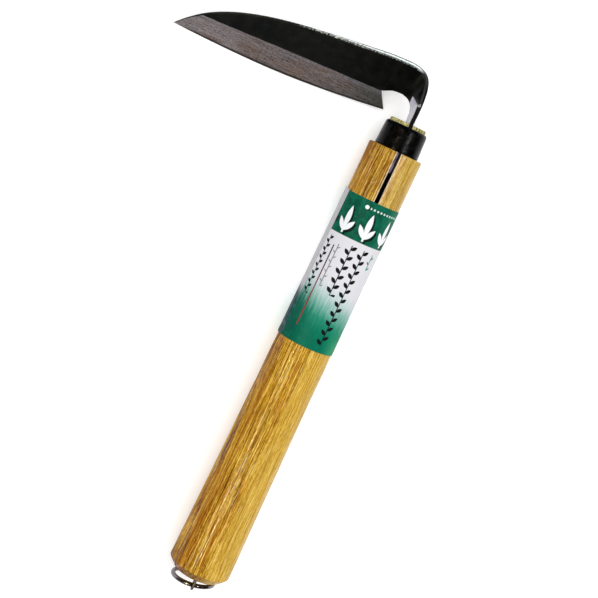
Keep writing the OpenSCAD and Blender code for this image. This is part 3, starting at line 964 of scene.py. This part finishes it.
def mat_ferrule():
    s = Shader("black_enamel")
    x, y, z = s.point("hp")
    v = s.vec(x, y, z)
    n1 = s.noise(v, 0.45, 3, 0.55)
    n2 = s.noise(v, 4.0, 3, 0.6)
    col = s.mix(s.step(n1, 0.35, 0.7), "020203", "050506")
    wear = s.step(n2 * 0.5 + n1 * 0.5, 0.60, 0.68)
    col = s.mix(wear * 0.35, col, "1c1d22")
    s.set(Base_Color=col, Roughness=s.step(n1, 0.3, 0.7, 0.20, 0.32))
    s.set(Normal=s.bump(n1 * 0.8 + n2 * 0.12, 0.25, 0.5))
    s.bsdf.inputs["Specular IOR Level"].default_value = 0.10
    return s


def leaf(s, u, a, u0, a0, length, width, turn):
    """Mask of one pointed leaf whose foot is at (u0, a0) and which points along turn (degrees from -u)."""
    c, d = math.cos(math.radians(turn)), math.sin(math.radians(turn))
    du, da = u - u0, a - a0
    along = (du * -c + da * d) * (1.0 / length)
    across = du * d + da * c
    bulge = along * (1.0 - along) * (width * 2.0)
    return s.step(bulge - s.absv(across), -0.08, 0.08) * s.step(along, 0.0, 0.02)


def sprig(s, u, a, a0, u0, u1, pitch, length, width):
    """A stem along u with leaves on alternate sides."""
    da = a - a0
    stem = s.band(u, u0, u1, 0.1) * s.step(s.absv(da), 0.16, 0.34, 1.0, 0.0)
    cell = (u - u0) * (1.0 / pitch)
    num = s.floor(cell)
    side = s.fract(num * 0.5) * 4.0 - 1.0          # -1 or +1
    loc = (cell - num) * pitch
    c, d = math.cos(math.radians(48)), math.sin(math.radians(48))
    q = da * side
    du = loc - pitch * 0.96
    along = (du * -c + q * d) * (1.0 / length)
    across = du * d + q * c
    lf = s.step(along * (1.0 - along) * (width * 2.0) - s.absv(across), -0.09, 0.09) * s.step(along, 0.0, 0.02)
    lf = lf * s.band(u, u0, u1, 0.1)
    return s.mx(stem, lf)


def mat_label():
    s = Shader("printed_paper")
    x, a, t = s.point("hq")
    zone = s.zone()
    u = -x                       # mm below the shoulder; a is mm round from +Z towards +Y
    ac = s.mn(s.mx(a, -24.0), 24.0)
    blade = s.noise(s.vec(u * 0.10, a * 1.1, 3.0), 1.0, 3, 0.68)
    soft = s.noise(s.vec(u * 0.3, a * 0.3, 5.0), 1.0, 3, 0.6)
    grad = (u - 72.0 + (blade - 0.5) * 14.0 + ac * 0.24) * (1.0 / 30.0)
    col = s.ramp(grad, [(0.0, "cecdd1"), (0.20, "b6c4c4"), (0.42, "6fa295"), (0.62, "227f66"), (0.85, "006a50"), (1.0, "00634b")])
    # darker green on the +Y side: painted shade
    col = s.mix(s.step(ac, 3.0, 15.0) * s.step(grad, 0.25, 0.7) * 0.75, col, "03483a")
    # lighter green on the -Y side: painted sheen
    col = s.mix(s.step(ac, -15.0, -5.0, 1.0, 0.0) * s.step(grad, 0.5, 0.9) * 0.85, col, "2a8c64")
    col = s.mix(s.step(soft, 0.5, 0.7) * s.step(grad, 0.4, 0.8) * 0.35, col, "0b7a5e")
    # top band with a row of sprouts and a dotted rule
    top_band = s.step(u, 48.1, 48.4, 1.0, 0.0)
    green = s.mix(s.step(soft, 0.4, 0.65), "034a36", "055f47")
    # lighter green on the -Y side of the top band: painted sheen
    green = s.mix(s.step(ac, -14.0, -4.0, 1.0, 0.0) * 0.45, green, "2b7a5f")
    col = s.mix(top_band, col, green)
    per = 11.4
    cell = (a + 7.4) * (1.0 / per)
    loc = (cell - s.floor(cell)) * per - per * 0.5

    def sprout(uu, aa):
        m = leaf(s, uu, aa, 45.2, 0.0, 12.4, 2.9, 0.0)
        m = s.mx(m, leaf(s, uu, aa, 46.0, 0.3, 7.4, 2.5, 33.0))
        m = s.mx(m, leaf(s, uu, aa, 46.0, -0.3, 7.4, 2.5, -33.0))
        return s.mx(m, s.step(s.absv(aa), 0.42, 0.62, 1.0, 0.0) * s.band(uu, 43.0, 47.2, 0.15))
    shade = s.mx(sprout(u - 0.9, loc + 1.3), sprout(u - 0.4, loc + 0.7))
    col = s.mix(shade * top_band * 0.9, col, "010e0a")
    col = s.mix(sprout(u, loc) * top_band, col, "e2e4e6")
    dots = s.fract(a * (1.0 / 1.9)) - 0.5
    row = s.step(dots * dots * 3.61 + (u - 30.6) * (u - 30.6), 0.22, 0.42, 1.0, 0.0) * s.step(a, 1.0, 1.3, 1.0, 0.0)
    col = s.mix(row * s.step(a, -18.0, -17.5) * 0.9, col, "c9d6d2")
    big = s.step((a - 3.0) * (a - 3.0) + (u - 30.6) * (u - 30.6), 0.9, 1.3, 1.0, 0.0)
    bigs = s.step((a - 2.4) * (a - 2.4) + (u - 31.2) * (u - 31.2), 0.9, 1.4, 1.0, 0.0)
    col = s.mix(bigs * 0.7, col, "02150f")
    col = s.mix(big, col, "e2e4e6")
    # sprigs down the front, dark and teal
    ink = s.mx(sprig(s, u, a, 1.5, 51.0, 78.3, 2.6, 3.7, 1.9), sprig(s, u, a, -5.2, 51.0, 103.0, 2.6, 3.7, 1.9))
    ink = s.mx(ink, sprig(s, u, a, 14.4, 50.5, 82.4, 2.2, 2.6, 1.4))
    col = s.mix(ink, col, "101213")
    col = s.mix(sprig(s, u, a, -11.2, 51.5, 60.0, 2.8, 2.4, 0.9), col, "187a5e")
    col = s.mix(sprig(s, u, a, 8.0, 53.0, 76.0, 2.6, 2.0, 0.6) * 0.8, col, "5a5457")
    # red rule
    rule = s.step(s.absv(a - 10.4), 0.24, 0.44, 1.0, 0.0) * s.band(u, 54.5, 98.5, 0.2)
    col = s.mix(rule, col, s.mix(s.step(u, 58.0, 90.0), "1c0c0e", "8e2a2c"))
    # the overlapping end of the sheet: unprinted margin, then its dark foot
    top_layer = s.step(t, 0.925, 0.93)
    margin = s.mix(s.step(grad, 0.35, 0.62), "b4b3b7", "123f42")
    margin = s.mix(s.step(s.noise(s.vec(u * 0.25, a * 0.5, 1.0), 1.0, 3, 0.6), 0.45, 0.65) * 0.3, margin, "8e8c92")
    col = s.mix(top_layer, col, margin)
    edge = s.step(zone, 1.5, 1.9)
    col = s.mix(edge, col, s.mix(s.step(grad, 0.4, 0.6), "c4c4c6", "2a4b49"))
    inside = s.band(zone, 0.5, 1.5, 0.1)
    col = s.mix(inside, col, "bdbdba")
    scuff = s.noise(s.vec(u, a, 0.0), 0.9, 4, 0.7)
    col = s.mix(s.step(scuff, 0.62, 0.72) * 0.16, col, "a9b5b4")
    s.set(Base_Color=col, Roughness=s.step(soft, 0.3, 0.7, 0.42, 0.55))
    fib = s.noise(s.vec(u, a, 0.0), 1.4, 4, 0.6)
    s.set(Normal=s.bump(fib * 0.4 + s.noise(s.vec(u * 0.1, a * 0.35, 2.0), 1.0, 2, 0.5), 0.10, 0.5))
    s.bsdf.inputs["Specular IOR Level"].default_value = 0.04
    return s


def mat_wire(name, tint, rough, spot, dark):
    s = Shader(name)
    d, a, r = s.point("hq")
    x, y, z = s.point("hp")
    v = s.vec(x, y, z)
    draw = s.noise(s.vec(d * 0.5, a * 2.6, 0.0), 1.0, 4, 0.6)
    blot = s.noise(v, 0.8, 4, 0.6)
    col = s.mix(s.step(blot, 0.5, 0.75) * spot, tint, dark)
    s.set(Base_Color=col, Metallic=1.0, Roughness=s.step(draw, 0.3, 0.7, rough, rough + 0.12))
    s.set(Normal=s.bump(draw, 0.02, 0.5))
    return s


blade = build_blade()
handle = build_handle()
ferrule = build_ferrule()
label = build_label()
staple = build_staple()
ring = build_ring()
give(blade, mat_blade())
give(handle, mat_wood())
give(ferrule, mat_ferrule())
give(label, mat_label())
give(staple, mat_wire("zinc_wire", "5c554f", 0.40, 0.6, "3e3934"))
give(ring, mat_wire("nickel_wire", "726f74", 0.13, 0.6, "373335"))


def mat_nail():
    s = Shader("nail_steel")
    co = s.nt.nodes.new("ShaderNodeTexCoord")
    n = s.noise(Val(s, co.outputs["Object"]), 900.0, 3, 0.6)
    s.set(Base_Color=s.mix(s.step(n, 0.4, 0.7), "8e8f91", "6b6a69"), Metallic=1.0, Roughness=s.step(n, 0.3, 0.7, 0.35, 0.5))
    return s


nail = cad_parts["cross_nail"]
give(nail, mat_nail())

# ----------------------------------------------------------------------- stage
def floor():
    me = bpy.data.meshes.new("floor")
    n, half = 8, 3.0
    vs = [(-half + 2 * half * i / n, -half + 2 * half * j / n, -0.00005) for j in range(n + 1) for i in range(n + 1)]
    fs = [(j * (n + 1) + i, j * (n + 1) + i + 1, (j + 1) * (n + 1) + i + 1, (j + 1) * (n + 1) + i) for j in range(n) for i in range(n)]
    me.from_pydata(vs, [], fs)
    me.update()
    ob = bpy.data.objects.new("floor", me)
    bpy.context.scene.collection.objects.link(ob)
    s = Shader("pale_floor")
    s.set(Base_Color=(0.93, 0.93, 0.93, 1.0), Roughness=0.75)
    s.bsdf.inputs["Specular IOR Level"].default_value = 0.2
    s.bsdf.inputs["Emission Color"].default_value = (1.0, 1.0, 1.0, 1.0)
    s.bsdf.inputs["Emission Strength"].default_value = 0.2
    give(ob, s)


floor()


def area(name, at, to, size, power, glossy=True, diffuse=True, along=None, tint=(1.0, 1.0, 1.0)):
    d = bpy.data.lights.new(name, "AREA")
    d.shape = "RECTANGLE"
    d.size, d.size_y = size
    d.energy = power
    d.color = tint
    ob = bpy.data.objects.new(name, d)
    ob.location = at
    ob.rotation_mode = "QUATERNION"
    if along is None:
        ob.rotation_quaternion = (Vector(to) - Vector(at)).to_track_quat("-Z", "Y")
    else:                                   # the light's long side follows a direction
        az = (Vector(at) - Vector(to)).normalized()
        ax = (Vector(along) - Vector(along).dot(az) * az).normalized()
        ob.rotation_quaternion = Matrix((ax, az.cross(ax), az)).transposed().to_quaternion()
    ob.visible_glossy, ob.visible_diffuse = glossy, diffuse
    bpy.context.scene.collection.objects.link(ob)
    return ob


area("key", (1.15, -0.50, 1.6), (0, 0, 0), (2.0, 2.0), 17.0, False)
area("sky", (0.25, 0.15, 2.6), (0.0, 0, 0), (3.6, 3.6), 38.0, False)
area("glint", (-0.46, 0.50, 1.15), (-0.05, -0.05, 0.0), (1.08, 0.035), 21.0, True, False, along=(1, 0, 0), tint=(1.0, 0.88, 0.55))
area("left", (0.1, 1.35, 0.62), (0.1, 0, 0), (1.2, 0.14), 0.5, True, False, along=(1, 0, 0), tint=(1.0, 0.84, 0.48))
area("right", (0.1, -1.2, 0.9), (0.1, 0, 0), (1.2, 0.14), 0.4, True, False, along=(1, 0, 0), tint=(1.0, 0.84, 0.48))

area("spark", (0.13, -0.60, 1.0), (0.11, -0.055, 0.0), (0.10, 0.06), 2.8, True, False, along=(1, 0, 0))

world = bpy.data.worlds.new("studio")
bpy.context.scene.world = world
world.use_nodes = True
world.node_tree.nodes["Background"].inputs[0].default_value = (1, 1, 1, 1)
world.node_tree.nodes["Background"].inputs[1].default_value = 0.7
world.cycles_visibility.glossy = False
bpy.context.scene.view_settings.view_transform = "Standard"

# ---------------------------------------------------------------------- camera
cam_data = bpy.data.cameras.new("camera")
cam = bpy.data.objects.new("camera", cam_data)
bpy.context.scene.collection.objects.link(cam)
cam_data.lens, cam_data.sensor_width = 85.18, 36.0
cam_data.clip_start, cam_data.clip_end = 0.01, 20.0
cam.location = Vector(place([(0.0, 106.62, 704.97)])[0])
right = place_dir((0.422778, -0.903679, 0.067998)).normalized()
forward = place_dir((-0.122666, -0.131409, -0.983710)).normalized()
up = right.cross(forward).normalized()
right = forward.cross(up).normalized()
cam.rotation_mode = "QUATERNION"
cam.rotation_quaternion = Matrix((right, up, -forward)).transposed().to_quaternion()
bpy.context.scene.camera = cam
